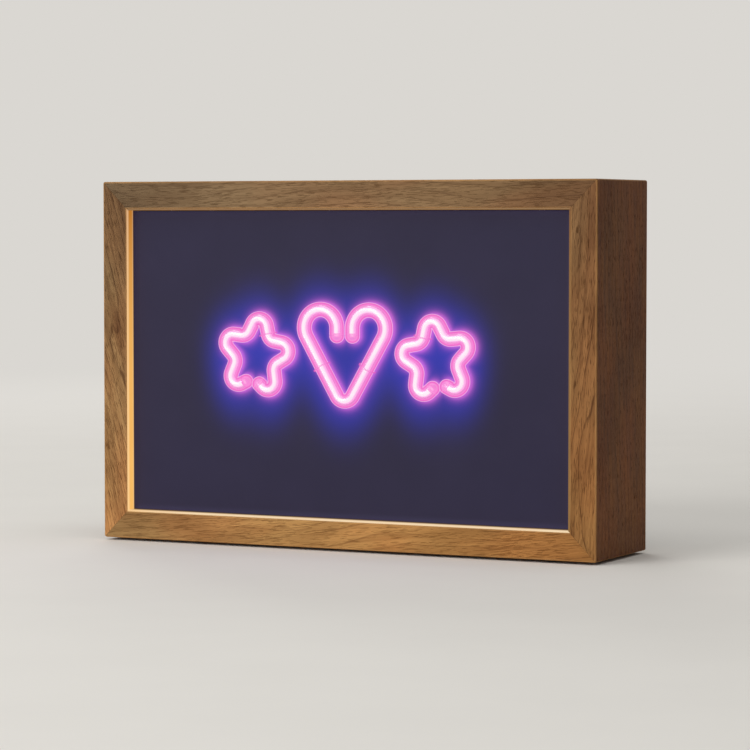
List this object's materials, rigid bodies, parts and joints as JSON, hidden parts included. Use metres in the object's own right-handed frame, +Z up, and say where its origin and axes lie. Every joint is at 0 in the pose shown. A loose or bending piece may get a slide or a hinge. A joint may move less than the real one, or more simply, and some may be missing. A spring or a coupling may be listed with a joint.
{
  "type": "neon picture lamp",
  "caption": "Wooden shadow-box table lamp with glowing bent tubes on a dark panel, a lit reveal, and a rocker switch and power jack in its recessed back.",
  "frame": {"origin": "on the table, below the middle of the case", "axes": "+X along the width, to the right as the lamp is faced; the lamp faces -Y; +Z up"},
  "size_m": [0.3, 0.07, 0.2015],
  "materials": {
    "oak": "oiled oak with open grain",
    "beech": "plain beech",
    "pine": "sawn pine",
    "opal_guide": "opal, lit amber",
    "felt": "pressed felt",
    "screw_steel": "zinc plated",
    "nylon": "natural nylon",
    "clear_sleeve": "clear, lit pink from inside",
    "light_core": "lit white pink",
    "clear_cap": "clear, lit pink",
    "wire_insulation": "soft white sleeve",
    "led_tape": "white flexible circuit",
    "slate_panel": "satin slate blue",
    "cover_board": "fibreboard painted dark grey",
    "switch_plastic": "moulded black",
    "rocker_plastic": "polished black",
    "jack_plastic": "moulded black",
    "nut_brass": "turned brass",
    "circuit_board": "green solder mask"
  },
  "bodies": {
    "case": {"back_cover": "cover_board", "board_spacer_1": "nylon", "board_spacer_2": "nylon", "bottom_board": "oak", "corner_tongue_bottom_left": "beech", "corner_tongue_bottom_right": "beech", "corner_tongue_top_left": "beech", "corner_tongue_top_right": "beech", "cover_screw_1": "screw_steel", "cover_screw_2": "screw_steel", "cover_screw_3": "screw_steel", "cover_screw_4": "screw_steel", "cover_screw_5": "screw_steel", "cover_screw_6": "screw_steel", "driver_board": "circuit_board", "foot_front_left": "felt", "foot_front_right": "felt", "foot_rear_left": "felt", "foot_rear_right": "felt", "heart_cap_a": "clear_cap", "heart_cap_b": "clear_cap", "heart_core": "light_core", "heart_lead": "wire_insulation", "heart_tie_1": "nylon", "heart_tie_2": "nylon", "heart_tube": "clear_sleeve", "jack_lead": "wire_insulation", "jack_nut": "nut_brass", "led_tape": "led_tape", "led_tape_lead": "wire_insulation", "left_side_board": "oak", "left_star_cap_a": "clear_cap", "left_star_cap_b": "clear_cap", "left_star_core": "light_core", "left_star_lead": "wire_insulation", "left_star_tie_1": "nylon", "left_star_tube": "clear_sleeve", "light_guide_bottom": "opal_guide", "light_guide_left": "opal_guide", "light_guide_right": "opal_guide", "light_guide_top": "opal_guide", "panel_batten_bottom": "pine", "panel_batten_left": "pine", "panel_batten_right": "pine", "panel_batten_top": "pine", "power_jack": "jack_plastic", "right_side_board": "oak", "right_star_cap_a": "clear_cap", "right_star_cap_b": "clear_cap", "right_star_core": "light_core", "right_star_lead": "wire_insulation", "right_star_tie_1": "nylon", "right_star_tube": "clear_sleeve", "sign_panel": "slate_panel", "switch_housing": "switch_plastic", "switch_lead": "wire_insulation", "top_board": "oak"},
    "rocker": {"switch_rocker": "rocker_plastic"}
  },
  "joints": [
    {"name": "switch_rock", "type": "hinge", "parent": "case", "child": "rocker", "pos_m": [0.062, 0.0282, 0.04], "axis": [1, 0, 0], "range_deg": [-18, 0]}
  ]
}
